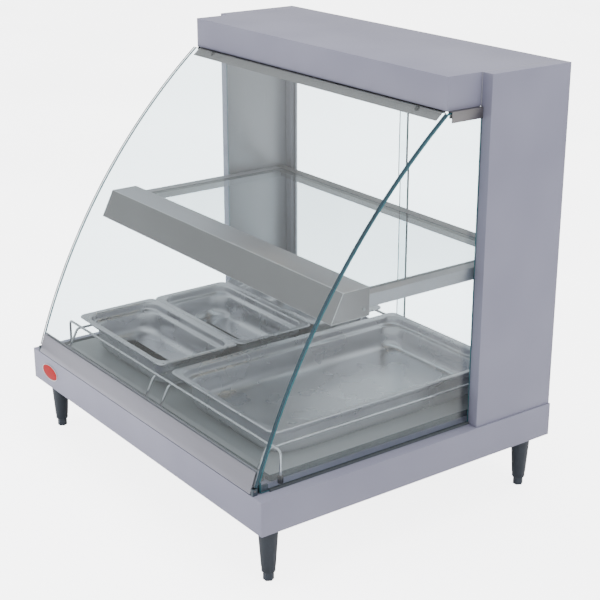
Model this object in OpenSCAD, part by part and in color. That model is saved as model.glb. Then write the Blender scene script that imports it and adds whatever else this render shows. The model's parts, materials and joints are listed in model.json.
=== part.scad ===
/* [Case] */
// Overall width of the case over its base
case_w = 826; // [800:1:900]
// Depth of the base, front to rear
base_d = 660; // [650:1:670]
// Overall height from the floor to the top of the hood
case_h = 813; // [790:1:840]
// Height of the base above the floor
leg_h = 107; // [100:1:115]
// Height of the base
base_h = 64; // [60:1:64]
// Thickness of the painted sheet metal
sheet = 1.5; // [1:0.1:1.8]

/* [Columns and hood] */
// Thickness of a column, seen from the front
column_t = 26; // [24:1:30]
// How far a column's outer face is set in from the base's side
column_inset = 3; // [2:1:5]
// Position of the columns' front face
column_y = 144; // [140:1:150]
// Position of the columns' rear face
rear_y = 329; // [327:0.5:330]
// Height of the hood
hood_h = 58; // [56:1:62]
// Position of the hood's front face
hood_y = 68.4; // [68:0.1:72]

/* [Glass] */
// Thickness of the front and side glass
glass_t = 6; // [5:0.5:6]
// Outer radius of the curved front glass
glass_r = 1272; // [1271:0.5:1272]
// Height of the front glass's lower edge
glass_z = 187; // [187:0.5:190]
// Distance of each side glass's outer face from the middle
side_glass_x = 389; // [388.5:0.1:389.5]
// Height of the front glass's bottom rail
rail_h = 36; // [30:1:40]

/* [Deck and shelf] */
// Width of the heated deck
deck_w = 716; // [700:1:720]
// Depth of the heated deck
deck_d = 554; // [540:1:556]
// Thickness of the heated deck
deck_t = 12; // [10:0.5:12]
// Height of the shelf housing's underside
shelf_z = 432; // [425:1:440]
// Width of the shelf
shelf_w = 762; // [758:1:763]
// Width of each shelf rail
shelf_rail_w = 21; // [18:1:24]

/* [Pans] */
// Long side of a full-size pan
pan_l = 530; // [528:1:532]
// Short side of a full-size pan
pan_w = 325; // [322:1:326]
// Depth of the pans
pan_h = 65; // [40:1:65]
// Distance of each pan bay's middle from the case's middle
pan_x = 178; // [177:1:180]
// Diameter of the rack's wire
wire_d = 5; // [4:0.5:5]

/* [Hidden] */

fine = 96;
arc_fine = 1440;
far = 1500;
// Colours
paint = "#A5A5AE";
satin = "#C2C2C9";
steel = "#B4B4B8";
glass = [0.80, 0.88, 0.90, 0.35];
black = "#22262B";
hardcoat = "#8C8E8C";

// Main levels and faces
base_x = case_w / 2;
base_y = base_d / 2;
base_top = leg_h + base_h;
column_x = base_x - column_inset;
inner_x = column_x - column_t;
hood_z = case_h - hood_h;
deck_top = base_top + deck_t;

// Legs
leg_x = base_x - 35.5;
leg_y = base_y - 37.5;
foot_h = 15;
foot_stem_r = 5;
foot_stem_top = 58;
leg_bottom = foot_h + 0.3;
leg_low_r = 12.2;
leg_top_r = 18.5;

// Front glass arc: its centre, and the faces of the glass, its rail and its stop
arc_y = 880;
arc_z = -219;
glass_in_r = glass_r - glass_t;
slot_gap = 0.1;
side_edge_r = glass_in_r - 1.5;
stop_r = glass_in_r - 2;
rail_out_r = glass_r + 1;
rail_in_r = glass_in_r - 2.5;
rail_x = inner_x - 3;
front_glass_x = side_glass_x - 1;
hinge_y = -(base_y - 5);
hinge_z = base_top + 8;
hinge_pin_r = 2;
running_gap = 0.05;
rail_bottom = hinge_z - 5.5;
glass_top_angle = asin((hood_z - arc_z) / glass_r);
glass_bottom_angle = asin((glass_z - arc_z) / glass_r);

// Side glass and its holders
side_in_x = side_glass_x - glass_t;
side_glass_top = hood_z - 3;
gasket_t = 1.5;

// Shelf
shelf_x = shelf_w / 2;
shelf_top = shelf_z + 51;
shelf_rail_top = shelf_z + 38;
shelf_rail_h = 23;
shelf_back_y = 285;
housing_back_y = -88;
housing_top_y = -143.5;
housing_bottom_y = -169;
shelf_glass_t = 6;
ledge_w = 12;

// Sliding doors
door_t = 5;
door_bottom = base_top + 2;
door_top = hood_z - 6;
door_inner_y = 296;
door_outer_y = 311;
door_edge_x = inner_x - 3;
door_left_end = 22;
door_right_end = -16;
pull_w = 28;
pull_t = 10;
track_y0 = 292.5;
track_d = 28;
track_wall = 2;
track_lip = 12;

// Control recess
recess_x = 150;
recess_z0 = leg_h + 9;
recess_z1 = base_top - 9;
recess_y = 311;
control_z = (recess_z0 + recess_z1) / 2;
knob_x = [-118, -72];
switch_x = [-22, 14];
gland_x = 122;
knob_r = 14;
knob_shaft_r = 3;
rocker_w = 16;
rocker_h = 24;
rocker_pivot_y = recess_y + sheet + 3;
rocker_pin_r = 1.5;
rocker_tilt = 9;

// Pans and rack
pan_y = 8;
pan_t = 1;
pan_rim = 11.5;
pan_shoulder_h = 18;
pan_shoulder = 7.5;
third_w = 176;
third_pitch = 177;
cross_z = base_top + 59.6;
long_z = base_top + 55;
cross_y = [-264, 278];
cross_end_x = [-364, 371];
long_x = [-325, -22, 31, 345];
rack_foot_h = 14;
rack_foot_y = [-286, 286];

// A box between two opposite corners
module block(from, to) {
    translate(from) cube(to - from);
}

// A YZ outline pushed along X between two positions
module along_x(x0, x1) {
    translate([x0, 0, 0]) rotate([90, 0, 90]) linear_extrude(x1 - x0) children();
}

// Children, and the same children mirrored to the other side of the case
module both_sides() {
    children();
    mirror([1, 0, 0]) children();
}

// A stretch of the ring between two radii about the front glass's centre
module arc_band(inner, outer) {
    translate([arc_y, arc_z]) difference() {
        circle(r = outer, $fn = arc_fine);
        circle(r = inner, $fn = arc_fine);
    }
}

// The wedge that keeps the ring between two angles above the horizontal
module arc_wedge(a0, a1) {
    middle = (a0 + a1) / 2;
    corners = [for (a = [a0, middle, a1]) [arc_y - far * cos(a), arc_z + far * sin(a)]];
    polygon(concat([[arc_y, arc_z]], corners));
}

// The arc stretch between two heights
module arc_between(inner, outer, z0, z1) {
    intersection() {
        arc_band(inner, outer);
        translate([-base_d, z0]) square([2 * base_d, z1 - z0]);
    }
}

// A rectangle with round corners, centred
module round_rect(size, r) {
    square([size[0] - 2 * r, size[1]], center = true);
    square([size[0], size[1] - 2 * r], center = true);
    for (x = [-1, 1], y = [-1, 1]) {
        translate([x * (size[0] / 2 - r), y * (size[1] / 2 - r)]) circle(r = r, $fn = 48);
    }
}

// A round rod from one point to another
module rod(from, to, r) {
    d = to - from;
    length = norm(d);
    translate(from) rotate([0, acos(d[2] / length), atan2(d[1], d[0])]) cylinder(r = r, h = length, $fn = 48);
}

// A bent wire through a list of points
module wire(points) {
    for (i = [0 : len(points) - 2]) rod(points[i], points[i + 1], wire_d / 2);
    for (i = [1 : len(points) - 2]) translate(points[i]) sphere(r = wire_d / 2 + 0.05, $fn = 48);
}

module base_shell() {
    color(paint) difference() {
        block([-base_x, -base_y, leg_h], [base_x, base_y, base_top]);
        block([sheet - base_x, sheet - base_y, leg_h - 1],
            [base_x - sheet, base_y - sheet, base_top - sheet]);
        block([15 - deck_w / 2, 15 - deck_d / 2, leg_h], [deck_w / 2 - 15, deck_d / 2 - 15, base_top + 1]);
        block([-recess_x, base_y - 5, recess_z0], [recess_x, base_y + 1, recess_z1]);
    }
}

module base_floor_plate() {
    edge = sheet + 0.5;
    color("#8E9094") difference() {
        block([edge - base_x, edge - base_y, leg_h], [base_x - edge, base_y - edge, leg_h + sheet]);
        for (x = [-240 : 24 : 240], y = [-150, 150]) {
            translate([x, y, leg_h - 1]) linear_extrude(sheet + 2) round_rect([5, 60], 2.4);
        }
    }
}

module heated_deck() {
    color(hardcoat) block([-deck_w / 2, -deck_d / 2, base_top], [deck_w / 2, deck_d / 2, deck_top]);
}

module deck_heater() {
    color("#B0B3B5") block([-320, -240, base_top - 2.5], [320, 240, base_top]);
}

// One tapered leg with its blind bore for the foot's stem
module leg(side, end) {
    color(black) translate([side * leg_x, end * leg_y, 0]) difference() {
        translate([0, 0, leg_bottom]) {
            cylinder(r1 = leg_low_r, r2 = leg_top_r, h = leg_h - leg_bottom, $fn = fine);
        }
        translate([0, 0, leg_bottom - 1]) {
            cylinder(r = foot_stem_r + running_gap, h = foot_stem_top + 3 - leg_bottom, $fn = fine);
        }
    }
}

// One adjustable foot: a hexagonal pad on a round stem
module foot(side, end) {
    color("#3A4048") translate([side * leg_x, end * leg_y, 0]) {
        cylinder(r = 9.8, h = foot_h, $fn = 6);
        translate([0, 0, foot_h - 1]) cylinder(r = foot_stem_r, h = foot_stem_top - foot_h + 1, $fn = fine);
    }
}

// One column's folded outer shell, open towards the inside of the case
module column_shell(side) {
    wrap = column_t - sheet;
    color(paint) scale([side, 1, 1]) difference() {
        block([column_x - wrap, column_y, base_top], [column_x, rear_y, case_h]);
        block([0, column_y + sheet, base_top + sheet], [column_x - sheet, rear_y - sheet, case_h - sheet]);
    }
}

module column_liner(side) {
    color(steel) scale([side, 1, 1]) {
        block([inner_x, column_y, base_top], [inner_x + sheet, rear_y, case_h]);
    }
}

// Outline of the hood seen from above, with an even inset
module hood_outline(inset) {
    half = inner_x - 0.2 - inset;
    translate([-half, hood_y + inset]) square([2 * half, rear_y - hood_y - 2 * inset]);
}

module hood_shell() {
    color(paint) difference() {
        translate([0, 0, hood_z]) linear_extrude(hood_h) hood_outline(0);
        translate([0, 0, hood_z - 1]) linear_extrude(hood_h + 1 - sheet) hood_outline(sheet);
    }
}

// Window in the hood's floor that the heat and light come down through
hood_window = [[-335, 118], [335, 196]];

module hood_floor_panel() {
    window_size = hood_window[1] - hood_window[0];
    color(steel) translate([0, 0, hood_z]) linear_extrude(sheet) difference() {
        hood_outline(sheet);
        translate(hood_window[0]) square(window_size);
    }
}

// A trough open downwards, seen from its end as an inverted U
module trough(x, y0, y1, z0, z1, t) {
    difference() {
        block([-x, y0, z0], [x, y1, z1]);
        block([t - x, y0 + t, z0 - 1], [x - t, y1 - t, z1 - t]);
    }
}

module hood_reflector() {
    z0 = hood_z + sheet;
    color(satin) trough(345, hood_window[0][1] - 6, hood_window[1][1] + 6, z0, z0 + 40, 1);
}

hood_heater_y = 138;
hood_lamp_y = 176;
hood_lamp_x = 190;

module hood_heater() {
    color("#8A7F78") along_x(-320, 320) translate([hood_heater_y, hood_z + 26]) circle(r = 4.2, $fn = 32);
    color("#E8E4DA") both_sides() {
        along_x(320, 344) translate([hood_heater_y, hood_z + 26]) circle(r = 7, $fn = 32);
    }
}

// One tubular lamp lying along X, with its round end
module lamp(x) {
    translate([x, hood_lamp_y, hood_z + 24]) {
        rotate([0, 90, 0]) cylinder(r = 11, h = 70, $fn = 48);
        translate([70, 0, 0]) sphere(r = 11, $fn = 48);
    }
}

module hood_lamps() {
    color("#FFF6E0") both_sides() lamp(hood_lamp_x - 60);
}

module lamp_sockets() {
    color("#EDEAE2") both_sides() {
        x = hood_lamp_x - 60;
        block([x - 22, hood_lamp_y - 13, hood_z + 11], [x, hood_lamp_y + 13, hood_z + sheet + 39]);
    }
}

module glass_stop_rail() {
    color(steel) along_x(-374, 374) arc_between(stop_r - 2, stop_r, hood_z - 17, hood_z);
}

bumper_x = 316;
bumper_angle = asin((hood_z - 8 - arc_z) / stop_r);

module glass_bumpers() {
    color(black) for (side = [-1, 1]) {
        translate([side * bumper_x, arc_y, arc_z]) rotate([90 - bumper_angle, 0, 0]) {
            translate([0, 0, stop_r + 0.02]) cylinder(r = 5, h = 1.8, $fn = 48);
        }
    }
}

// U-shaped holders under the hood for the upper edge of each side glass
module glass_retainers() {
    y0 = hood_y + 6;
    y1 = column_y - 1;
    color(steel) both_sides() {
        difference() {
            block([side_in_x - 3, y0, hood_z - 19], [side_glass_x + 2, y1, hood_z]);
            block([side_in_x - 0.2, y0 - 1, hood_z - 20], [side_glass_x + 0.2, y1 + 1, hood_z - 2]);
            block([side_in_x - 4, y0 - 1, hood_z - 20], [side_in_x, y1 + 1, hood_z - 12]);
        }
    }
}

// One side glass: its front edge follows the front glass and steps back above the hinge bracket
module side_glass(side) {
    step_y = hinge_y + 11;
    color(glass) scale([side, 1, 1]) along_x(side_in_x, side_glass_x) intersection() {
        translate([arc_y, arc_z]) circle(r = side_edge_r, $fn = arc_fine);
        polygon([[step_y, base_top + gasket_t], [column_y - 0.5, base_top + gasket_t],
            [column_y - 0.5, side_glass_top], [-base_y, side_glass_top], [-base_y, base_top + 21],
            [step_y, base_top + 21]]);
    }
}

module side_glass_gaskets() {
    y0 = hinge_y + 28.5;
    color("#3C4146") both_sides() difference() {
        block([side_in_x - 1.5, y0, base_top], [side_glass_x + 1.5, column_y - 0.3, base_top + 4.5]);
        block([side_in_x, y0 - 1, base_top + gasket_t], [side_glass_x, column_y, base_top + 5]);
    }
}

module front_glass() {
    color(glass) along_x(-front_glass_x, front_glass_x) intersection() {
        arc_band(glass_in_r, glass_r);
        arc_wedge(glass_bottom_angle, glass_top_angle);
    }
}

module front_glass_rail() {
    color(satin) difference() {
        along_x(-rail_x, rail_x) difference() {
            arc_between(rail_in_r, rail_out_r, rail_bottom, rail_bottom + rail_h);
            intersection() {
                arc_band(glass_in_r - slot_gap, glass_r + slot_gap);
                arc_wedge(glass_bottom_angle, glass_top_angle);
            }
        }
        both_sides() {
            translate([rail_x - 18, hinge_y, hinge_z]) rotate([0, 90, 0]) {
                cylinder(r = hinge_pin_r + running_gap, h = 20, $fn = fine);
            }
        }
    }
}

// Hinge blocks on the base's front corners, each with a tab inside the side glass
module hinge_brackets() {
    x0 = rail_x + 1;
    top = base_top + 12.5;
    color("#596266") both_sides() difference() {
        union() {
            block([x0, hinge_y - 4.5, base_top], [side_glass_x - 1, hinge_y + 5, top]);
            block([x0 - 4, hinge_y + 12, base_top], [side_in_x - 0.3, hinge_y + 28, top]);
            block([x0, hinge_y + 4, base_top], [side_in_x - 0.3, hinge_y + 13, top]);
        }
        translate([x0 - 1, hinge_y, hinge_z]) rotate([0, 90, 0]) {
            cylinder(r = hinge_pin_r + 0.02, h = side_glass_x, $fn = fine);
        }
    }
}

module hinge_pins() {
    color(steel) both_sides() {
        translate([rail_x - 15, hinge_y, hinge_z]) rotate([0, 90, 0]) {
            cylinder(r = hinge_pin_r, h = side_glass_x - rail_x + 14, $fn = fine);
        }
    }
}

// The shelf's slanted front housing, seen from its end
module housing_outline(inset) {
    polygon([[housing_top_y + inset * 0.7, shelf_top - inset], [housing_back_y - inset, shelf_top - inset],
        [housing_back_y - inset, shelf_z], [housing_bottom_y + inset * 1.1, shelf_z]]);
}

// Slot in the housing's underside that the shelf's heat comes down through
housing_window = [-148, -98];

module shelf_housing() {
    color(steel) difference() {
        along_x(-shelf_x, shelf_x) housing_outline(0);
        along_x(sheet - shelf_x, shelf_x - sheet) intersection() {
            housing_outline(sheet);
            translate([-base_y, shelf_z + sheet]) square([base_d, shelf_top]);
        }
        block([10 - shelf_x, housing_window[0], shelf_z - 1], [shelf_x - 10, housing_window[1], shelf_z + 5]);
    }
}

module shelf_reflector() {
    z0 = shelf_z + sheet;
    color(satin) trough(shelf_x - 4, housing_window[0] - 4, housing_window[1] + 6, z0, z0 + 22, 1);
}

module shelf_heater() {
    color("#8A7F78") along_x(-350, 350) translate([-124, shelf_z + 13]) circle(r = 4.2, $fn = 32);
    color("#E8E4DA") both_sides() {
        along_x(350, shelf_x - 5) translate([-124, shelf_z + 13]) circle(r = 7, $fn = 32);
    }
}

// One side rail of the shelf, with the ledge that carries the glass
module shelf_rail(side) {
    z1 = shelf_rail_top;
    y1 = shelf_back_y - shelf_rail_w;
    x0 = shelf_x - shelf_rail_w;
    color(steel) scale([side, 1, 1]) {
        block([x0, housing_back_y, z1 - shelf_rail_h], [shelf_x, y1, z1]);
        block([x0 - ledge_w, housing_back_y, z1 - shelf_glass_t - 2], [x0 + 1, y1, z1 - shelf_glass_t]);
    }
}

module shelf_rear_rail() {
    z1 = shelf_rail_top;
    y0 = shelf_back_y - shelf_rail_w;
    ledge_x = shelf_x - shelf_rail_w - ledge_w;
    color(steel) {
        block([-shelf_x, y0, z1 - shelf_rail_h], [shelf_x, shelf_back_y, z1]);
        block([-ledge_x, y0 - ledge_w, z1 - shelf_glass_t - 2], [ledge_x, y0 + 1, z1 - shelf_glass_t]);
    }
}

module shelf_glass() {
    x = shelf_x - shelf_rail_w - 0.5;
    y1 = shelf_back_y - shelf_rail_w - 0.5;
    color(glass) {
        block([-x, housing_back_y + 0.5, shelf_rail_top - shelf_glass_t], [x, y1, shelf_rail_top]);
    }
}

module shelf_supports() {
    z1 = shelf_rail_top;
    color(steel) both_sides() {
        block([shelf_x, column_y + 12, z1 - shelf_rail_h], [inner_x, shelf_back_y - 6, z1 - 3]);
    }
}

module door_left() {
    color(glass) {
        block([-door_edge_x, door_inner_y, door_bottom], [door_left_end, door_inner_y + door_t, door_top]);
    }
}

module door_right() {
    color(glass) {
        block([door_right_end, door_outer_y, door_bottom], [door_edge_x, door_outer_y + door_t, door_top]);
    }
}

// Edge pull that wraps a door's outer edge; y is the door glass's inner face
module door_pull(side, y) {
    y0 = y - (pull_t - door_t) / 2;
    color(satin) scale([side, 1, 1]) difference() {
        block([door_edge_x - pull_w, y0, door_bottom + 17], [door_edge_x + 1.5, y0 + pull_t, door_top - 15]);
        block([0, y, door_bottom], [door_edge_x, y + door_t, door_top]);
        block([0, y0 - 1, door_bottom + 60], [door_edge_x - pull_w + 8, y - 1, door_top - 60]);
    }
}

// Two-groove door track, with its web at web_z and its lips reaching to lip_z
module door_track(web_z, lip_z) {
    x = inner_x - 0.2;
    low = min(web_z, lip_z);
    high = max(web_z, lip_z);
    grooves = [track_wall, (track_d + track_wall) / 2];
    groove_w = (track_d - 3 * track_wall) / 2;
    floor_low = lip_z > web_z ? web_z + track_wall : low - 1;
    floor_high = lip_z > web_z ? high + 1 : web_z - track_wall;
    color(satin) difference() {
        block([-x, track_y0, low], [x, track_y0 + track_d, high]);
        for (g = grooves) {
            block([-x - 1, track_y0 + g, floor_low], [x + 1, track_y0 + g + groove_w, floor_high]);
        }
    }
}

module door_track_bottom() {
    door_track(base_top, base_top + track_lip);
}

module door_track_top() {
    door_track(hood_z, hood_z - track_lip - 5);
}

// Window and pivot holes for one rocker switch
module rocker_window(x) {
    half_w = rocker_w / 2 + 0.5;
    half_h = rocker_h / 2 + 1.2;
    block([x - half_w, recess_y - 5, control_z - half_h], [x + half_w, base_y, control_z + half_h]);
    translate([x - half_w - 2, rocker_pivot_y, control_z]) rotate([0, 90, 0]) {
        cylinder(r = rocker_pin_r + running_gap, h = 2 * half_w + 4, $fn = fine);
    }
}

// Recessed rear panel: a tray with a flange behind the base's rear wall and a bezel for each switch
module control_panel() {
    flange_y = base_y - sheet;
    color("#55585E") difference() {
        union() {
            block([-recess_x - 8, flange_y - sheet, recess_z0 - 5], [recess_x + 8, flange_y, recess_z1 + 5]);
            block([-recess_x, recess_y, recess_z0], [recess_x, flange_y, recess_z1]);
        }
        block([sheet - recess_x, recess_y + sheet, recess_z0 + sheet],
            [recess_x - sheet, base_y, recess_z1 - sheet]);
        for (x = knob_x) {
            translate([x, recess_y - 1, control_z]) rotate([-90, 0, 0]) {
                cylinder(r = knob_shaft_r + running_gap, h = sheet + 2, $fn = fine);
            }
        }
        for (x = switch_x) rocker_window(x);
        translate([gland_x, recess_y - 1, control_z]) rotate([-90, 0, 0]) cylinder(r = 9, h = 4, $fn = fine);
    }
    color(black) for (x = switch_x) difference() {
        block([x - 11.5, recess_y + sheet, control_z - 16], [x + 11.5, recess_y + sheet + 6, control_z + 16]);
        rocker_window(x);
    }
}

// Control knob: grip, pointer ridge and shaft
module knob(x) {
    face_y = recess_y + sheet + 0.5;
    color(black) translate([x, face_y, control_z]) rotate([-90, 0, 0]) {
        cylinder(r = knob_r, h = 3, $fn = fine);
        translate([0, 0, 2.5]) cylinder(r = knob_r - 3, h = 9.5, $fn = fine);
        translate([-1.5, -knob_r + 1.5, 2.5]) cube([3, 2 * knob_r - 3, 11.5]);
        translate([0, 0, -14]) cylinder(r = knob_shaft_r, h = 15, $fn = fine);
    }
}

// Rocker that turns about X on two short pins
module rocker(x, tint) {
    half = rocker_h / 2;
    color(tint) {
        translate([0, rocker_pivot_y, control_z]) rotate([-rocker_tilt, 0, 0]) {
            along_x(x - rocker_w / 2, x + rocker_w / 2) {
                polygon([[-4, 4 - half], [-4, half - 4], [0.5, half], [5, half], [2.5, 0], [5, -half],
                    [0.5, -half]]);
            }
        }
        translate([x - rocker_w / 2 - 1.8, rocker_pivot_y, control_z]) rotate([0, 90, 0]) {
            cylinder(r = rocker_pin_r, h = rocker_w + 3.6, $fn = fine);
        }
    }
}

// Gland that the supply cord leaves through
gland_bore_r = 4.5;

module cord_gland() {
    color(black) translate([gland_x, recess_y, control_z]) rotate([-90, 0, 0]) difference() {
        union() {
            translate([0, 0, -8]) cylinder(r = 8.9, h = 12, $fn = fine);
            translate([0, 0, sheet]) cylinder(r = 13, h = 8, $fn = fine);
            translate([0, 0, sheet + 7]) cylinder(r = 9, h = base_y + 1 - recess_y - sheet - 7, $fn = fine);
        }
        translate([0, 0, -9]) cylinder(r = gland_bore_r, h = 40, $fn = fine);
    }
}

// The wire rack: two cross wires over four lengthwise wires, all with bent legs
module pan_rack() {
    end_z = base_top + 5;
    color("#D8D8DC") {
        for (y = cross_y) {
            wire([[cross_end_x[0], y, end_z], [cross_end_x[0], y, cross_z], [cross_end_x[1], y, cross_z],
                [cross_end_x[1], y, end_z]]);
        }
        for (x = long_x) {
            wire([[x, rack_foot_y[0], end_z], [x, rack_foot_y[0], end_z + 16], [x, cross_y[0] - 4, long_z],
                [x, cross_y[1] + 2, long_z], [x, rack_foot_y[1], end_z + 16], [x, rack_foot_y[1], end_z]]);
        }
    }
}

module rack_foot(x, y) {
    translate([x, y, base_top]) difference() {
        cylinder(r = 5, h = rack_foot_h, $fn = 48);
        translate([0, 0, 4.9]) cylinder(r = wire_d / 2 + 0.02, h = rack_foot_h, $fn = 48);
    }
}

module rack_feet() {
    color(black) {
        for (x = long_x, y = rack_foot_y) rack_foot(x, y);
        for (x = cross_end_x, y = cross_y) rack_foot(x, y);
    }
}

// One pan: a flat rim over a collar and a narrower body, centred on a point of the deck
module pan(centre, size) {
    collar = size - [2 * pan_rim, 2 * pan_rim];
    body = collar - [2 * pan_shoulder, 2 * pan_shoulder];
    wall = [2 * pan_t, 2 * pan_t];
    collar_z = pan_h - pan_shoulder_h;
    color("#C9CBCE") translate([centre[0], centre[1], deck_top]) difference() {
        union() {
            linear_extrude(pan_h - 1) round_rect(body, 30);
            translate([0, 0, collar_z]) linear_extrude(pan_shoulder_h) round_rect(collar, 34);
            translate([0, 0, pan_h - 1.5]) linear_extrude(1.5) round_rect(size, 18);
        }
        translate([0, 0, pan_t]) linear_extrude(pan_h) round_rect(body - wall, 29);
        translate([0, 0, collar_z + pan_t]) linear_extrude(pan_h) round_rect(collar - wall, 33);
    }
}

module food_pan_full() {
    pan([pan_x, pan_y], [pan_w, pan_l]);
}

// One of the three third-size pans; step is -1, 0 or 1 from front to rear
module food_pan_third(step) {
    pan([-pan_x, pan_y + step * third_pitch], [pan_w, third_w]);
}

badge_x = -341;
badge_z = leg_h + 33;
badge_h = 33;
badge_stretch = 2;

module badge() {
    color("#B3262E") translate([badge_x, 0, badge_z]) scale([badge_stretch, 1, 1]) rotate([90, 0, 0]) {
        translate([0, 0, base_y]) cylinder(r = badge_h / 2, h = 1, $fn = 64);
    }
}

// A slotted screw head that stands up from its own origin
module screw_head() {
    difference() {
        cylinder(r = 3.6, h = 1.6, $fn = 32);
        translate([-0.5, -5, 0.8]) cube([1, 10, 2]);
    }
}

module screws() {
    color("#D5D5D8") {
        for (side = [-1, 1], z = [base_top + 30, 480, case_h - 30]) {
            translate([side * (column_x - 12), rear_y, z]) rotate([-90, 0, 0]) screw_head();
        }
        for (x = [-300, 0, 300]) translate([x, rear_y, case_h - 18]) rotate([-90, 0, 0]) screw_head();
        for (x = [-380, 0, 380], y = [-200, 200]) translate([x, y, leg_h]) rotate([180, 0, 0]) screw_head();
        for (side = [-1, 1]) {
            translate([side * shelf_x, housing_back_y - 12, shelf_z + 14]) {
                rotate([0, side * 90, 0]) scale([0.8, 0.8, 0.8]) screw_head();
            }
        }
    }
}

base_shell();
base_floor_plate();
heated_deck();
deck_heater();
leg(-1, -1);  // leg_front_left
leg(1, -1);  // leg_front_right
leg(-1, 1);  // leg_rear_left
leg(1, 1);  // leg_rear_right
foot(-1, -1);  // foot_front_left
foot(1, -1);  // foot_front_right
foot(-1, 1);  // foot_rear_left
foot(1, 1);  // foot_rear_right
column_shell(-1);  // column_shell_left
column_shell(1);  // column_shell_right
column_liner(-1);  // column_liner_left
column_liner(1);  // column_liner_right
hood_shell();
hood_floor_panel();
hood_reflector();
hood_heater();
hood_lamps();
lamp_sockets();
glass_stop_rail();
glass_bumpers();
glass_retainers();
side_glass(-1);  // side_glass_left
side_glass(1);  // side_glass_right
side_glass_gaskets();
front_glass();
front_glass_rail();
hinge_brackets();
hinge_pins();
shelf_housing();
shelf_rail(-1);  // shelf_rail_left
shelf_rail(1);  // shelf_rail_right
shelf_rear_rail();
shelf_glass();
shelf_heater();
shelf_reflector();
shelf_supports();
door_left();
door_right();
door_pull(-1, door_inner_y);  // door_pull_left
door_pull(1, door_outer_y);  // door_pull_right
door_track_bottom();
door_track_top();
control_panel();
knob(knob_x[0]);  // upper_heat_knob
knob(knob_x[1]);  // lower_heat_knob
rocker(switch_x[0], "#8E1F24");  // power_switch
rocker(switch_x[1], black);  // light_switch
cord_gland();
pan_rack();
rack_feet();
food_pan_full();
food_pan_third(-1);  // food_pan_third_front
food_pan_third(0);  // food_pan_third_middle
food_pan_third(1);  // food_pan_third_rear
badge();
screws();
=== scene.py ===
# %% [markdown]
# # Hot food display case
# A counter case that keeps food warm between glass panes. Each step below either gives such
# a node a finish or builds a finer piece that stands for it.

# %% Load the frame
import json
import math

import bmesh
import bpy
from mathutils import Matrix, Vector


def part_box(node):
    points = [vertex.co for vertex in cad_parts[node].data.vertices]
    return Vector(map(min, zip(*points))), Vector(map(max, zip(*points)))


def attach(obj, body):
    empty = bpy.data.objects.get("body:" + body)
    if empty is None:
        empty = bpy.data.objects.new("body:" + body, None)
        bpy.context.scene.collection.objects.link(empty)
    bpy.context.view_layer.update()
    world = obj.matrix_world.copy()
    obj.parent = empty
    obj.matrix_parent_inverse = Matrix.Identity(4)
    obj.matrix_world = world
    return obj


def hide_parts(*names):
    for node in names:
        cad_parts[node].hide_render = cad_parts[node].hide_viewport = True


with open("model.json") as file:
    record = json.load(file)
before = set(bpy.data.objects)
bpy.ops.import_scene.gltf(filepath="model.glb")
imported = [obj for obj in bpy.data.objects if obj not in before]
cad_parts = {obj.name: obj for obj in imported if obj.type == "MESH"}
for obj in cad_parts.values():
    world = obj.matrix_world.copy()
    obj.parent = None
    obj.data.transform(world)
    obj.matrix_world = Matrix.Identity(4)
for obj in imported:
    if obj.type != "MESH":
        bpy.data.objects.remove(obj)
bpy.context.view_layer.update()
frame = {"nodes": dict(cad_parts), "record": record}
MM = 0.001

# %% [markdown]
# ## Camera
# A product view from the front right, a little above the hood. A long lens keeps the
# uprights almost parallel. The camera could also be shifted to keep them vertical, but a
# plain tilt frames the case from every side.

# %% Camera
lens_mm = 83.3
turn_left = 53.8
tilt_down = 20.2
camera_data = bpy.data.cameras.new("camera")
camera_data.lens = lens_mm
camera = bpy.data.objects.new("camera", camera_data)
camera.location = (2.056, -1.455, 1.253)
camera.rotation_euler = (math.radians(90 - tilt_down), 0, math.radians(turn_left))
bpy.context.scene.collection.objects.link(camera)
bpy.context.scene.camera = camera

# %% [markdown]
# ## Helpers for materials
# Colours are written as sRGB hex values and turned to the linear values that shaders use.
# One function adds a node with its settings and links, so that each material reads as a
# short list of steps.

# %% Material helpers
def colour(hex_value):
    """A linear RGBA colour from an sRGB hex value such as #A0B0C0."""
    parts = [int(hex_value[i:i + 2], 16) / 255 for i in (1, 3, 5)]
    linear = [p / 12.92 if p <= 0.04045 else ((p + 0.055) / 1.055) ** 2.4 for p in parts]
    return (*linear, 1.0)


def add_node(material, kind, settings=None, **inputs):
    """Adds a shader node. A value that is a socket is linked, and any other is set."""
    node = material.node_tree.nodes.new(kind)
    for key, value in (settings or {}).items():
        setattr(node, key, value)
    for key, value in inputs.items():
        name = key.replace("_", " ")
        numbered = name.startswith("in") and name[2:].isdigit()
        socket = node.inputs[int(name[2:])] if numbered else node.inputs[name]
        if isinstance(value, bpy.types.NodeSocket):
            material.node_tree.links.new(value, socket)
        else:
            socket.default_value = value
    return node


def new_material(name, **values):
    """A material with one Principled shader, whose plain numbers sit on its own sockets."""
    material = bpy.data.materials.new(name)
    material.use_nodes = True
    shader = material.node_tree.nodes["Principled BSDF"]
    for key, value in values.items():
        shader.inputs[key.replace("_", " ")].default_value = value
    return material, shader


def grain(material, size_mm, detail=2.0, stretch=(1, 1, 1)):
    """Noise whose spots are about size_mm across; stretch draws them out along an axis."""
    place = add_node(material, "ShaderNodeTexCoord").outputs["Object"]
    scale = tuple(1 / s for s in stretch)
    mapped = add_node(material, "ShaderNodeMapping", Vector=place, Scale=scale)
    noise = add_node(material, "ShaderNodeTexNoise", Vector=mapped.outputs[0],
                     Scale=1 / (size_mm * MM), Detail=detail)
    return noise.outputs["Fac"]


def between(material, factor, low, high):
    """Turns a 0.3 to 0.7 noise value into numbers from low to high."""
    span = add_node(material, "ShaderNodeMapRange", Value=factor, From_Min=0.3, From_Max=0.7,
                    To_Min=low, To_Max=high)
    return span.outputs["Result"]


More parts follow.
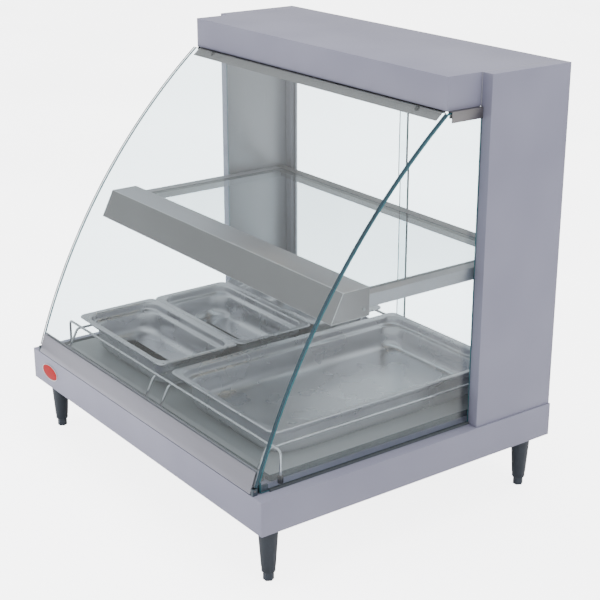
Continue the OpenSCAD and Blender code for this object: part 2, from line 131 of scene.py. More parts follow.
def shade(material, factor, dark, light):
    """Colour that drifts between two hex values as the noise does."""
    mix = add_node(material, "ShaderNodeMix", {"data_type": "RGBA"},
                   Factor=between(material, factor, 0, 1))
    rgba = [s for s in mix.inputs if s.type == "RGBA"]
    rgba[0].default_value = colour(dark)
    rgba[1].default_value = colour(light)
    return [s for s in mix.outputs if s.type == "RGBA"][0]


def link(material, output, shader, name):
    """Joins a socket to one of the shader's inputs."""
    material.node_tree.links.new(output, shader.inputs[name])


def bump(material, shader, height, depth_mm):
    """Raises the surface by depth_mm where height is 1."""
    node = add_node(material, "ShaderNodeBump", Height=height, Distance=depth_mm * MM)
    link(material, node.outputs[0], shader, "Normal")


# %% [markdown]
# ## Painted sheet steel
# The base, columns and hood are folded steel with a baked powder coat. The powder flows out
# to a faint orange peel, with peaks about 2 mm apart, and a satin gloss that blurs lamps
# into wide soft patches.

# %% Powder coat
def powder_coat(name, dark, light, roughness):
    material, shader = new_material(name, IOR=1.5)
    drift = grain(material, 140, 1)
    peel = grain(material, 2.2, 1)
    link(material, shade(material, drift, dark, light), shader, "Base Color")
    link(material, between(material, peel, roughness - 0.04, roughness + 0.04), shader, "Roughness")
    bump(material, shader, peel, 0.02)
    return material


body_paint = powder_coat("lavender_grey_powder_coat", "#86869A", "#8F8FA2", 0.42)
panel_paint = powder_coat("charcoal_powder_coat", "#3A3C40", "#45474C", 0.45)

# %% [markdown]
# ## Brushed steel and aluminium
# Stainless steel sheet is ground with a belt, and the extrusions are etched and anodised.
# Both show as fine lines along one axis. Real lines are 0.1 mm wide, too fine to show here,
# so they are drawn 1 to 2 mm wide and kept faint.

# %% Brushed metals
def brushed_metal(name, dark, light, roughness, along=(60, 1, 1), line_mm=1.2, depth_mm=0.008):
    material, shader = new_material(name, Metallic=1.0)
    lines = grain(material, line_mm, 3, along)
    link(material, shade(material, lines, dark, light), shader, "Base Color")
    link(material, between(material, lines, roughness - 0.07, roughness + 0.07), shader, "Roughness")
    bump(material, shader, lines, depth_mm)
    return material


brushed_steel = brushed_metal("brushed_stainless_steel", "#918E8F", "#9B9899", 0.46)
brushed_steel_upright = brushed_metal("brushed_stainless_steel_upright", "#CBCBD0", "#D6D6DB", 0.46,
                                      (1, 1, 60))
anodised = brushed_metal("satin_anodised_aluminium", "#A9A9B4", "#B1B1BC", 0.44, (80, 1, 1), 0.9, 0.003)
anodised_upright = brushed_metal("satin_anodised_aluminium_upright", "#B6B6BF", "#C0C0C9", 0.4,
                                 (1, 1, 80), 0.9)
pan_steel = brushed_metal("drawn_stainless_steel", "#CACACF", "#D2D2D7", 0.29, (1, 1, 1), 90, 0.0)
hinge_steel = brushed_metal("dark_zinc_steel", "#59636A", "#667078", 0.45, (1, 1, 1), 7)
zinc_plate = brushed_metal("zinc_plated_steel", "#8F9296", "#B0B3B6", 0.4, (1, 1, 1), 9)
mirror_aluminium = brushed_metal("polished_aluminium", "#D5D5D8", "#E6E6E8", 0.12, (40, 1, 1), 2)
print("finishes so far:", len(bpy.data.materials))

# %% [markdown]
# ## Bright wire, heaters and lamps
# The rack is nickel plated wire. The heaters are steel tubes that have turned brown and
# blue from heat, and the lamps are frosted glass with a warm glow.

# %% Wire, heater and lamp finishes
bright_wire = brushed_metal("nickel_plated_wire", "#C9CACE", "#DCDDE0", 0.14, (1, 1, 1), 6)
heater_sheath = brushed_metal("heat_tinted_steel", "#5A4A44", "#7C6C66", 0.42, (12, 1, 1), 8)


def frosted_lamp():
    material, shader = new_material("frosted_lamp_glass", Roughness=0.4, IOR=1.5, Emission_Strength=5.0)
    frost = grain(material, 3, 2)
    link(material, shade(material, frost, "#F4E9D6", "#FFF8EA"), shader, "Base Color")
    link(material, shade(material, frost, "#FFE0B0", "#FFEBC8"), shader, "Emission Color")
    return material


lamp_glass = frosted_lamp()

# %% [markdown]
# ## Hard-anodised deck
# The heated deck is aluminium with a thick oxide. It is matt and slightly speckled. Its
# sides get a much darker copy of the top's finish, as painted shade.

# %% Deck finish
def hard_anodised(name, dark, light):
    material, shader = new_material(name, Metallic=0.35, IOR=1.6)
    speckle = grain(material, 3, 3)
    link(material, shade(material, speckle, dark, light), shader, "Base Color")
    link(material, between(material, speckle, 0.38, 0.48), shader, "Roughness")
    bump(material, shader, speckle, 0.012)
    return material


deck_top_finish = hard_anodised("hard_anodised_aluminium", "#A6AAAC", "#AFB3B5")
# A darker copy of the same finish for the sides: painted shade.
deck_sides_painted_shade = hard_anodised("hard_anodised_edge", "#445155", "#4F5C60")

# %% [markdown]
# ## Plastics, rubber and ceramic
# The legs are glass-filled nylon, the knobs and rockers are moulded phenolic and ABS, the
# bumpers, gaskets and rack feet are EPDM rubber, and the lamp sockets are glazed porcelain.
# Each gets a fine grain and a roughness of its own. The badge's red enamel has a low
# specular level, because the pale surround would otherwise wash its colour out.

# %% Moulded finishes
def moulded(name, dark, light, roughness, grain_mm=1.5, depth_mm=0.02, specular=0.5):
    material, shader = new_material(name, IOR=1.5, Specular_IOR_Level=specular)
    texture = grain(material, grain_mm, 2)
    link(material, shade(material, texture, dark, light), shader, "Base Color")
    link(material, between(material, texture, roughness - 0.06, roughness + 0.06), shader, "Roughness")
    bump(material, shader, texture, depth_mm)
    return material


black_nylon = moulded("glass_filled_nylon", "#1E252E", "#28303B", 0.4)
grey_nylon = moulded("grey_nylon", "#2C333D", "#39414C", 0.42)
phenolic = moulded("black_phenolic", "#141518", "#1D1E22", 0.3)
epdm = moulded("epdm_rubber", "#0E0F11", "#161719", 0.6, 1.0)
gasket_rubber = moulded("grey_silicone_rubber", "#474C50", "#545A5E", 0.6, 1.0)
porcelain = moulded("glazed_porcelain", "#E4E0D6", "#F0ECE4", 0.18, 6)
red_enamel = moulded("red_enamel", "#9E0A12", "#AB0F18", 0.34, 12, depth_mm=0.0, specular=0.1)
red_abs = moulded("red_abs", "#8C1C22", "#A0242B", 0.32)
white_paint = moulded("white_marking_paint", "#DEDEDC", "#EDEDEB", 0.5)

# %% [markdown]
# ## Float glass
# A pane is almost colourless across its face, but an edge is seen through its whole width,
# where iron in the glass turns it deep teal. So a pane has two finishes: a clear one that
# bends light on its faces, and a dark polished one on its edges. Lamps would be stopped by
# clear glass, so rays towards a lamp see a plain see-through shader in its place.

# %% Glass finishes
def clear_glass():
    material, shader = new_material("float_glass", Roughness=0.0, IOR=1.5, Transmission_Weight=1.0)
    shader.inputs["Base Color"].default_value = colour("#F3FAFC")
    path = add_node(material, "ShaderNodeLightPath")
    open_glass = add_node(material, "ShaderNodeBsdfTransparent", Color=colour("#FAFDFD"))
    mix = add_node(material, "ShaderNodeMixShader", in0=path.outputs["Is Shadow Ray"],
                   in1=shader.outputs[0], in2=open_glass.outputs[0])
    output = material.node_tree.nodes["Material Output"]
    material.node_tree.links.new(mix.outputs[0], output.inputs["Surface"])
    return material


def glass_edge(name, dark, light):
    material, shader = new_material(name, Roughness=0.16, IOR=1.5)
    depth = grain(material, 60, 1)
    link(material, shade(material, depth, dark, light), shader, "Base Color")
    return material


pane_glass = clear_glass()
pane_edge = glass_edge("float_glass_edge", "#0A2C38", "#12404E")
seamed_edge = glass_edge("seamed_glass_edge", "#2F626D", "#437680")

# %% [markdown]
# ## Helpers for pieces
# Most of the case is folded sheet, sawn extrusion and cut plate, whose shapes the CAD
# already has with razor edges. The quickest honest way to finish them is to copy a node's
# mesh, merge its triangles back into flat faces, and round its edges with a bevel. Turned
# parts are spun from a profile, and drawn parts are lofted from rings.

# %% Piece helpers
def body_of_node(node):
    """Name of the body that a CAD node belongs to."""
    bodies = frame["record"]["behaviour"]["bodies"]
    return next(name for name, nodes in bodies.items() if node in nodes)


def finish_piece(name, mesh, materials, node, stands_for=True):
    """Makes the object, gives it its finishes and lets it ride with its node's body."""
    piece = bpy.data.objects.new(name, mesh)
    bpy.context.scene.collection.objects.link(piece)
    for material in materials:
        mesh.materials.append(material)
    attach(piece, body_of_node(node))
    if stands_for:
        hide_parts(node)
    return piece


def mesh_from(bm, name, smooth=True):
    """Closes a bmesh into a mesh with its normals outward."""
    bmesh.ops.recalc_face_normals(bm, faces=bm.faces)
    mesh = bpy.data.meshes.new(name)
    bm.to_mesh(mesh)
    bm.free()
    if smooth:
        mesh.shade_smooth()
    else:
        mesh.shade_flat()
    return mesh


fold_angle = math.radians(25)
merge_distance = 0.002 * MM
flat_angle = math.radians(0.5)


def round_edges(piece, radius_mm, segments=2, edge_slot=-1):
    """Rounds every edge sharper than fold_angle."""
    bevel = piece.modifiers.new("rounded edges", "BEVEL")
    bevel.width = radius_mm * MM
    bevel.segments = segments
    bevel.limit_method = "ANGLE"
    bevel.angle_limit = fold_angle
    bevel.harden_normals = True
    bevel.material = edge_slot
    return bevel


def cad_copy(node):
    """A bmesh of a CAD node with its triangles merged back into flat faces."""
    bm = bmesh.new()
    bm.from_mesh(frame["nodes"][node].data)
    bmesh.ops.remove_doubles(bm, verts=bm.verts, dist=merge_distance)
    bmesh.ops.dissolve_limit(bm, angle_limit=flat_angle, verts=bm.verts, edges=bm.edges)
    return bm


def soften(node, material, radius_mm=0.6):
    """Stands a copy with rounded edges in for a CAD node."""
    piece = finish_piece("fine_" + node, mesh_from(cad_copy(node), node), [material], node)
    round_edges(piece, radius_mm)


def sort_faces(bm, is_first):
    """Gives a face the first finish where is_first says so, and the second elsewhere."""
    bm.normal_update()
    for face in bm.faces:
        face.material_index = 0 if is_first(face) else 1


def loft(rings):
    """A closed skin through rings that all have the same number of points."""
    bm = bmesh.new()
    rows = [[bm.verts.new(p) for p in ring] for ring in rings]
    count = len(rows[0])
    for low, high in zip(rows, rows[1:]):
        for i in range(count):
            bm.faces.new((low[i], low[(i + 1) % count], high[(i + 1) % count], high[i]))
    bm.faces.new(rows[0][::-1])
    bm.faces.new(rows[-1])
    return bm


def circle(radius, count=48, flutes=0, flute_depth=0.0):
    """Points of a circle, or of a fluted one."""
    angles = [2 * math.pi * i / count for i in range(count)]
    return [((radius + flute_depth * math.cos(flutes * a)) * math.cos(a),
             (radius + flute_depth * math.cos(flutes * a)) * math.sin(a)) for a in angles]


def spin(profile_mm, centre_mm):
    """A turned upright solid: profile_mm lists (radius, height) from its centre."""
    rings = []
    for radius, height in profile_mm:
        rings.append([Vector((u, v, height)) * MM + Vector(centre_mm) * MM for u, v in circle(radius)])
    return loft(rings)


# %% [markdown]
# ## Painted casing
# The base, the two columns and the hood are folded from sheet. The CAD holds their true
# walls, so they only need the small bend radius that catches light along each fold.

# %% Casing
for node in ("base_shell", "column_shell_left", "column_shell_right", "hood_shell"):
    soften(node, body_paint, 0.7)
soften("base_floor_plate", zinc_plate, 0.4)
for node in ("column_liner_left", "column_liner_right"):
    soften(node, brushed_steel_upright, 0.5)
soften("hood_floor_panel", brushed_steel, 0.4)

# %% [markdown]
# ## Hood and shelf heat
# Under the hood and the shelf housing a polished trough throws the heat of a sheathed
# element down. The hood's trough also holds two lamps in porcelain sockets.

# %% Heaters, reflectors and lamps
for node in ("hood_reflector", "shelf_reflector"):
    soften(node, mirror_aluminium, 0.3)
for node in ("hood_heater", "shelf_heater"):
    soften(node, heater_sheath, 0.4)
soften("hood_lamps", lamp_glass, 0.5)
soften("lamp_sockets", porcelain, 1.0)
soften("deck_heater", zinc_plate, 0.4)

# %% [markdown]
# ## Heated deck
# A slab with a light top, and sides in a darker copy of its finish as painted shade. Its faces are
# sorted by where they point.

# %% Deck
facing_up = 0.5
deck_bm = cad_copy("heated_deck")
sort_faces(deck_bm, lambda face: face.normal.z > facing_up)
deck = finish_piece("heated_deck_slab", mesh_from(deck_bm, "heated_deck_slab"),
                    [deck_top_finish, deck_sides_painted_shade], "heated_deck")
round_edges(deck, 1.2, 3, 1)

# %% [markdown]
# ## Legs and feet
# Each leg is a moulded taper with a narrow collar at its lower end. Its foot is a hexagonal pad on a
# stem, so that a spanner can level the case.

# %% Legs and feet
leg_box = {end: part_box("leg_" + end)
           for end in ("front_left", "front_right", "rear_left", "rear_right")}
for end, (low, high) in leg_box.items():
    centre = [(a + b) / 2 / MM for a, b in zip(low, high)]
    bottom = low[2] / MM - centre[2]
    top = high[2] / MM - centre[2]
    leg_profile = [(6, bottom + 1), (6, bottom), (11, bottom), (11.9, bottom + 0.8),
                   (12.2, bottom + 2), (12.3, bottom + 9), (12.9, bottom + 10.5),
                   (18.1, top - 4), (18.4, top - 2), (18.4, top)]
    leg = finish_piece("tapered_leg_" + end, mesh_from(spin(leg_profile, centre), "leg"), [black_nylon],
                       "leg_" + end)
    round_edges(leg, 0.4)
    soften("foot_" + end, grey_nylon, 0.9)
print("leg height, mm:", round(top - bottom, 1))

# %% [markdown]
# ## Curved front glass
# One sheet of glass bent about a level axis, 6 mm thick. The CAD facets its arc, so the
# pane is built again from its own circle with 72 steps, which keeps reflections smooth.
# The circle's centre, its radii and the heights where the arc starts and ends repeat the
# design's values, and only the pane's width comes from the CAD box.

# %% Front glass
glass_low, glass_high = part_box("front_glass")
outer_r = 1272 * MM
inner_r = 1266 * MM
arc_y = 880 * MM
arc_z = -219 * MM
pane_foot_z = 187 * MM
pane_top_z = 755 * MM
arc_start = math.asin((pane_foot_z - arc_z) / outer_r)
arc_end = math.asin((pane_top_z - arc_z) / outer_r)
glass_steps = 72


def on_arc(x, radius, angle):
    """A point on the glass's circle."""
    return Vector((x, arc_y - radius * math.cos(angle), arc_z + radius * math.sin(angle)))


def curved_pane():
    """Rings across the thickness, with ground arrises, from the bottom edge to the top."""
    x0 = glass_low[0]
    x1 = glass_high[0]
    arris = 0.5 * MM
    outline = [(x0 + arris, inner_r), (x1 - arris, inner_r),
               (x1, inner_r + arris), (x1, outer_r - arris),
               (x1 - arris, outer_r), (x0 + arris, outer_r),
               (x0, outer_r - arris), (x0, inner_r + arris)]
    rings = []
    for i in range(glass_steps + 1):
        angle = arc_start + (arc_end - arc_start) * i / glass_steps
        rings.append([on_arc(x, radius, angle) for x, radius in outline])

    def is_clear(face):
        middle = face.calc_center_median()
        outward = Vector((0, middle.y - arc_y, middle.z - arc_z)).normalized()
        return abs(face.normal.dot(outward)) > 0.95

    bm = loft(rings)
    sort_faces(bm, is_clear)
    for edge in bm.edges:
        kinds = {face.material_index for face in edge.link_faces}
        edge.smooth = kinds == {0}
    return bm


finish_piece("curved_front_pane", mesh_from(curved_pane(), "curved_front_pane"),
             [pane_glass, pane_edge], "front_glass")
print("front glass arc, degrees:", round(math.degrees(arc_end - arc_start), 1))

# %% [markdown]
# ## Flat panes
# The side glasses, the shelf and the two sliding doors are flat plates. Each is a copy of
# its CAD node: faces across its thickness are clear, and all the rest are edge. They are
# shaded flat, because smooth shading would bend light near the edges as a lens does.

# %% Flat panes
def flat_pane(node, thickness_axis, edge):
    """A clear plate with dark edges; thickness_axis is 0 for X, 1 for Y and 2 for Z."""
    bm = cad_copy(node)
    sort_faces(bm, lambda face: abs(face.normal[thickness_axis]) > 0.9)
    pane = finish_piece("pane_" + node, mesh_from(bm, node, False), [pane_glass, edge], node)
    arris = round_edges(pane, 0.5, 1, 1)
    arris.harden_normals = False


for node in ("side_glass_left", "side_glass_right"):
    flat_pane(node, 0, seamed_edge)
for node, thickness_axis in (("shelf_glass", 2), ("door_left", 1), ("door_right", 1)):
    flat_pane(node, thickness_axis, pane_edge)

# %% [markdown]
# ## Glass holders
# The bottom rail, tracks and pulls are anodised extrusions, the hinge blocks and upper
# holders are steel, and the bumpers and gaskets are rubber.

# %% Glass holders
soften("front_glass_rail", anodised, 0.5)
for node in ("door_track_bottom", "door_track_top"):
    soften(node, anodised, 0.3)
for node in ("door_pull_left", "door_pull_right"):
    soften(node, anodised_upright, 0.8)
for node in ("hinge_pins", "glass_stop_rail", "glass_retainers"):
    soften(node, brushed_steel, 0.4)
soften("hinge_brackets", hinge_steel, 0.4)
soften("glass_bumpers", epdm, 0.6)
soften("side_glass_gaskets", gasket_rubber, 0.4)

# %% [markdown]
# A soft rubber bead seals the glass to its rail, along the rail's inner lip. It is a short
# oval swept along X, and it tilts with the glass.

# %% Rail seal
rail_low, rail_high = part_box("front_glass_rail")
seal_angle = math.asin((rail_high[2] - 1.6 * MM - arc_z) / inner_r)
seal_half = rail_high[0] - 1 * MM


def rail_seal():
    """A bead along the rail, drawn in a little at its two ends."""
    rings = []
    for x in (-seal_half, -seal_half + 0.8 * MM, seal_half - 0.8 * MM, seal_half):
        ends = 0.7 if abs(x) == seal_half else 1.0
        ring = []
        for u, v in circle(1.0, 16):
            radius = inner_r - (1.5 + 1.3 * u * ends) * MM
            ring.append(on_arc(x, radius, seal_angle + 2.4 * v * ends * MM / inner_r))
        rings.append(ring)
    finish_piece("rail_seal", mesh_from(loft(rings), "rail_seal"), [epdm], "front_glass_rail", False)


rail_seal()

# %% [markdown]
# ## Shelf frame
# A folded housing with a slanted front, and rails whose ledges carry the glass. The
# housing's level top gets a lighter copy of its steel as painted light from above, and its
# folds a near-white copy as painted highlights.

# %% Shelf frame
soften("shelf_rear_rail", brushed_steel, 0.8)
# Lighter copies of the steel: painted light on the level top, painted highlights on the folds.
painted_lit_top_steel = brushed_metal("brushed_stainless_steel_painted_lit_top", "#C4C4CA", "#CECED4", 0.46)
painted_highlight_fold_steel = brushed_metal("stainless_steel_painted_fold_highlight", "#E2E2E5", "#EAEAED", 0.3)


def shelf_housing():
    """The folded housing, with painted light on its top and painted highlights on its folds, as lighter
    copies of its steel.
    """
    bm = cad_copy("shelf_housing")
    sort_faces(bm, lambda face: face.normal.z <= facing_up)
    piece = finish_piece("fine_shelf_housing", mesh_from(bm, "shelf_housing"),
                         [brushed_steel, painted_lit_top_steel, painted_highlight_fold_steel], "shelf_housing")
    round_edges(piece, 0.8, edge_slot=2)


shelf_housing()
brushed_steel_deep = brushed_metal("brushed_stainless_steel_deep", "#B4B4BA", "#C0C0C6", 0.48,
                                   (1, 60, 1))
for node in ("shelf_rail_left", "shelf_rail_right", "shelf_supports"):
    soften(node, brushed_steel_deep, 0.6)

# %% [markdown]
# ## Food pans
# A steam table pan is drawn from one sheet of stainless steel. The skin follows one profile
# from the middle of the floor up the wall, out at the stacking shoulder, over the rim and
# its rolled bead, and back down the outside. Each ring is a rectangle with round corners,
# and the corners open out lower down, where the sheet had to stretch.

# %% Food pans
rim_width = 11.5
shoulder_step = 7.6
sheet_mm = 0.9
corner_steps = 8


def pan_ring(centre, half_x, half_y, inset, z):
    """One ring of a pan, inset from its rim, in metres."""
    hx = half_x - inset * MM
    hy = half_y - inset * MM
    r = (13 + 1.3 * inset) * MM
    ring = []
    for k, (sx, sy) in enumerate(((1, 1), (-1, 1), (-1, -1), (1, -1))):
        for i in range(corner_steps + 1):
            a = math.pi / 2 * (k + i / corner_steps)
            ring.append(Vector((centre.x + sx * (hx - r) + r * math.cos(a),
                                centre.y + sy * (hy - r) + r * math.sin(a), z)))
    return ring


def pan_profile(depth):
    """(inset, height below the rim) of the drawn sheet, inside first and then outside."""
    collar = rim_width + sheet_mm
    body = collar + shoulder_step
    inside = [(body + 19, -depth + sheet_mm), (body + 13, -depth + sheet_mm + 0.4),
              (body + 7.5, -depth + 3.4), (body + 3.4, -depth + 8), (body + 1.2, -depth + 14),
              (body + 0.4, -depth + 22), (body, -20), (body - 0.8, -18.2), (body - 2.6, -17.2),
              (collar + 2, -16.4), (collar + 0.5, -15), (collar, -12), (collar, -4.5),
              (collar - 0.6, -2.2), (collar - 2.2, -1.2), (collar - 4, -1)]
    rim = [(4.4, -1), (3.4, -0.5), (2.4, 0), (1.2, -0.2), (0.3, -1.1), (0, -2.4), (0.4, -3.6),
           (1.2, -3.9), (1.5, -2.6), (2.6, -1.6), (3.6, -1.9), (4.6, -2.1)]
    outside = [(collar - 4, -2), (collar - 1.9, -2.8), (collar - 0.9, -4.8), (collar - 0.9, -12),
               (collar - 0.5, -15.4), (collar + 1.2, -17.3), (body - 3, -18.2), (body - 1.3, -19.4),
               (body - 0.8, -22), (body - 0.5, -depth + 22), (body + 0.3, -depth + 13.6),
               (body + 2.6, -depth + 7.3), (body + 6.9, -depth + 2.5), (body + 13, -depth + 0.3),
               (body + 19, -depth)]
    return inside + rim + outside


def food_pan(node):
    """The drawn pan. Its walls are shaded smooth, and its floor flat."""
    low, high = (Vector(v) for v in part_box(node))
    centre = (low + high) / 2
    depth = (high.z - low.z) / MM
    half_x = (high.x - low.x) / 2
    half_y = (high.y - low.y) / 2
    rings = [pan_ring(centre, half_x, half_y, inset, high.z + drop * MM)
             for inset, drop in pan_profile(depth)]
    mesh = mesh_from(loft(rings), node)
    for face in mesh.polygons:
        face.use_smooth = len(face.vertices) == 4
    finish_piece("drawn_" + node, mesh, [pan_steel], node)
    print(node, "is", round(depth), "mm deep")


for node in ("food_pan_full", "food_pan_third_front", "food_pan_third_middle", "food_pan_third_rear"):
    food_pan(node)

# %% [markdown]
# ## Wire rack
# Two cross wires are welded over four lengthwise wires. A wire is bent round a former, so
# every corner has a radius. Each wire is a curve with a round section, and each of its
# corners is replaced by a short smooth bend.

# %% Wire rack
wire_radius = 2.5 * MM
bend_radius = 9 * MM
bend_steps = 8
longest_reach = 0.45


def bent_path(corners, radius):
    """The corners of a path, with each inner one replaced by a smooth bend."""
    path = [Vector(corners[0])]
    for a, b, c in zip(corners, corners[1:], corners[2:]):
        back = (Vector(a) - Vector(b)).normalized()
        on = (Vector(c) - Vector(b)).normalized()
        half = back.angle(on) / 2
        reach = min(radius / math.tan(half), (Vector(a) - Vector(b)).length * longest_reach,
                    (Vector(c) - Vector(b)).length * longest_reach)
        start = Vector(b) + back * reach
        end = Vector(b) + on * reach
        for i in range(bend_steps + 1):
            t = i / bend_steps
            path.append((1 - t) ** 2 * start + 2 * t * (1 - t) * Vector(b) + t ** 2 * end)
    path.append(Vector(corners[-1]))
    return path


def wire(name, corners):
    """One bent wire of the rack."""
    curve = bpy.data.curves.new(name, "CURVE")
    curve.dimensions = "3D"
    curve.bevel_depth = wire_radius
    curve.bevel_resolution = 5
    curve.use_fill_caps = True
    points = bent_path(corners, bend_radius)
    line = curve.splines.new("POLY")
    line.points.add(len(points) - 1)
    for point, place in zip(line.points, points):
        point.co = (*place, 1)
    piece = bpy.data.objects.new(name, curve)
    bpy.context.scene.collection.objects.link(piece)
    curve.materials.append(bright_wire)
    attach(piece, body_of_node("pan_rack"))
    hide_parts("pan_rack")


rack_low, rack_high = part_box("pan_rack")
foot_low, foot_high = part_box("rack_feet")
foot_centre = 5 * MM
wire_drop = 4.6 * MM
knee_rise = 16 * MM
front_run = 4 * MM
rear_run = 2 * MM
cross_z = rack_high[2] - wire_radius
long_z = cross_z - wire_drop
wire_end = foot_low[2] + foot_centre
knee = wire_end + knee_rise
cross_x0 = rack_low[0] + wire_radius
cross_x1 = rack_high[0] - wire_radius
long_front = foot_low[1] + foot_centre
long_rear = foot_high[1] - foot_centre
cross_ys = (-264 * MM, 278 * MM)
long_xs = (-325 * MM, -22 * MM, 31 * MM, 345 * MM)
for i, y in enumerate(cross_ys):
    wire("rack_cross_wire_" + str(i), [(cross_x0, y, wire_end), (cross_x0, y, cross_z),
                                       (cross_x1, y, cross_z), (cross_x1, y, wire_end)])
for i, x in enumerate(long_xs):
    wire("rack_long_wire_" + str(i), [(x, long_front, wire_end), (x, long_front, knee),
                                      (x, cross_ys[0] - front_run, long_z),
                                      (x, cross_ys[1] + rear_run, long_z),
                                      (x, long_rear, knee), (x, long_rear, wire_end)])
soften("rack_feet", epdm, 1.0)
print("rack wires:", len(cross_ys) + len(long_xs))

# %% [markdown]
# ## Rear controls
# A recessed tray holds two heat knobs with fluted grips, two rockers and the cord gland.

# %% Controls
soften("control_panel", panel_paint, 0.4)
soften("power_switch", red_abs, 0.5)
soften("light_switch", phenolic, 0.5)
soften("cord_gland", black_nylon, 0.7)


def fluted_knob(node):
    """Skirt, fluted grip and domed face, turned about Y, with a white pointer line."""
    low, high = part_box(node)
    centre_x = (low[0] + high[0]) / 2
    centre_z = (low[2] + high[2]) / 2
    face_y = high[1] - 14 * MM
    profile = [(3, -14, 0), (3, 0, 0), (13.4, 0, 0), (14, 0.7, 0), (14, 2.4, 0), (13.2, 3, 0),
               (11, 3.6, 0.5), (10.6, 11.4, 0.5), (9.8, 12.4, 0.3), (6, 12.9, 0), (0.2, 13, 0)]
    rings = []
    for radius, height, flute in profile:
        rings.append([Vector((centre_x + u * MM, face_y + height * MM, centre_z - v * MM))
                      for u, v in circle(radius, 96, 16, flute)])
    finish_piece("fluted_" + node, mesh_from(loft(rings), node), [phenolic], node)
    line_width, line_thickness, line_length = 1.4, 0.8, 7.6
    line_forward, line_up = 13, 5.2
    bm = bmesh.new()
    bmesh.ops.create_cube(bm, size=1)
    for vert in bm.verts:
        x = centre_x + vert.co.x * line_width * MM
        y = face_y + (line_forward + vert.co.y * line_thickness) * MM
        vert.co = Vector((x, y, centre_z + (line_up + vert.co.z * line_length) * MM))
    pointer = finish_piece("pointer_" + node, mesh_from(bm, "pointer"), [white_paint], node, False)
    round_edges(pointer, 0.3)


for node in ("upper_heat_knob", "lower_heat_knob"):
    fluted_knob(node)

# %% [markdown]
# ## Badge and screws
# A blank enamelled oval marks the front of the base. It is domed a little, and sits in a
# thin bright bezel. The screws are slotted zinc heads.

# %% Badge and screws
badge_low, badge_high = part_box("badge")
badge_centre = [(a + b) / 2 for a, b in zip(badge_low, badge_high)]
badge_a = (badge_high[0] - badge_low[0]) / 2
badge_b = (badge_high[2] - badge_low[2]) / 2
badge_back = badge_high[1]


def oval_ring(inset, forward, count=64):
    """One ring of the badge, inset from its rim and forward of the base, in millimetres."""
    ring = []
    for i in range(count):
        a = 2 * math.pi * i / count
        ring.append(Vector((badge_centre[0] + (badge_a - inset * MM) * math.cos(a),
                            badge_back - forward * MM,
                            badge_centre[2] + (badge_b - inset * MM) * math.sin(a))))
    return ring


bezel_rings = [oval_ring(2.2, 0.1), oval_ring(0.3, 0.1), oval_ring(0, 0.6), oval_ring(0.5, 1.4),
               oval_ring(1.3, 1.5), oval_ring(2, 0.9)]
finish_piece("badge_bezel", mesh_from(loft(bezel_rings), "badge_bezel"), [mirror_aluminium], "badge")
face_rings = [oval_ring(2, 0.2), oval_ring(1.9, 0.9), oval_ring(3, 1.2), oval_ring(6, 1.6),
              oval_ring(9.5, 1.8)]
finish_piece("badge_face", mesh_from(loft(face_rings), "badge_face"), [red_enamel], "badge", False)
soften("screws", zinc_plate, 0.25)
print("badge, mm:", round(2 * badge_a / MM), "by", round(2 * badge_b / MM))

# %% [markdown]
# ## Studio
# A pale floor and soft light. A wide lamp overhead lights the tops, a low one in front
# lifts the base, and one on the right lights that side. The lamps don't show in reflections
# or through glass, where their hard outlines would cross the panes, so the metal mirrors a
# surround that is brighter above.
# The floor and surround are lifted towards white where they are seen, directly or through
# glass, and not where they light the case.

# %% Studio
def seen_light(owner, lighting, seen):
    """Strength that is higher for rays that see a thing straight or through glass."""
    path = add_node(owner, "ShaderNodeLightPath").outputs
    sight = add_node(owner, "ShaderNodeMath", {"operation": "MAXIMUM"},
                     in0=path["Is Camera Ray"], in1=path["Is Transmission Ray"])
    bounces = add_node(owner, "ShaderNodeMath", {"operation": "ADD"},
                       in0=path["Diffuse Depth"], in1=path["Glossy Depth"])
    straight = add_node(owner, "ShaderNodeMath", {"operation": "LESS_THAN"},
                        in0=bounces.outputs[0], in1=0.5)
    both = add_node(owner, "ShaderNodeMath", {"operation": "MULTIPLY"},
                    in0=sight.outputs[0], in1=straight.outputs[0])
    strength = add_node(owner, "ShaderNodeMapRange", Value=both.outputs[0],
                        To_Min=lighting, To_Max=seen)
    return strength.outputs["Result"]


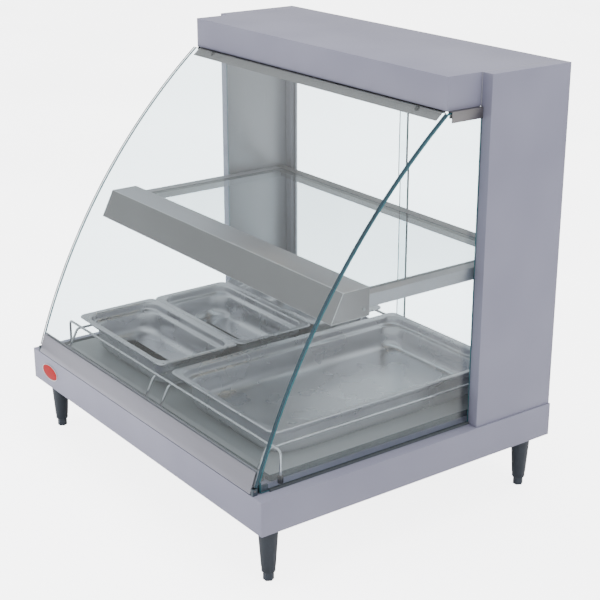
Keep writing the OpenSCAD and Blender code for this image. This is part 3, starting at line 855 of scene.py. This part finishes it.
def pale_floor():
    material, shader = new_material("studio_floor", Roughness=0.8)
    tone = shade(material, grain(material, 900, 1), "#F2F2F3", "#F7F7F8")
    link(material, tone, shader, "Base Color")
    link(material, tone, shader, "Emission Color")
    link(material, seen_light(material, 0.0, 5.0), shader, "Emission Strength")
    return material


floor_reach = 12
floor_bm = bmesh.new()
bmesh.ops.create_grid(floor_bm, x_segments=1, y_segments=1, size=floor_reach)
floor = bpy.data.objects.new("floor", mesh_from(floor_bm, "floor", False))
floor.data.materials.append(pale_floor())
bpy.context.scene.collection.objects.link(floor)


def soft_lamp(name, place, aim, size, power):
    """A square lamp that lights the case and isn't itself seen in it."""
    data = bpy.data.lights.new(name, "AREA")
    data.size = size
    data.energy = power
    lamp = bpy.data.objects.new(name, data)
    lamp.location = place
    lamp.rotation_euler = (Vector(aim) - Vector(place)).to_track_quat("-Z", "Y").to_euler()
    lamp.visible_glossy = False
    lamp.visible_transmission = False
    bpy.context.scene.collection.objects.link(lamp)


case_middle = (0, 0, 0.4)
soft_lamp("key_lamp", (-0.8, -1.5, 0.2), (0, -0.33, 0.1), 1.1, 24)
soft_lamp("top_lamp", (0.2, 0.3, 3.2), case_middle, 2.6, 55)
soft_lamp("side_lamp", (2.4, 0.1, 1.5), (0.41, 0.1, 0.7), 1.3, 16)

world = bpy.data.worlds.new("studio")
world.use_nodes = True
sky = add_node(world, "ShaderNodeTexCoord").outputs["Generated"]
height = add_node(world, "ShaderNodeSeparateXYZ", Vector=sky).outputs["Z"]
lit = add_node(world, "ShaderNodeMapRange", Value=height, From_Min=-0.2, From_Max=0.8,
               To_Min=0.5, To_Max=1.2).outputs["Result"]
lift = seen_light(world, 1.0, 9.0)
total = add_node(world, "ShaderNodeMath", {"operation": "MULTIPLY"}, in0=lit, in1=lift).outputs[0]
backdrop = world.node_tree.nodes["Background"]
backdrop.inputs["Color"].default_value = colour("#FFFFFF")
world.node_tree.links.new(total, backdrop.inputs["Strength"])
bpy.context.scene.world = world
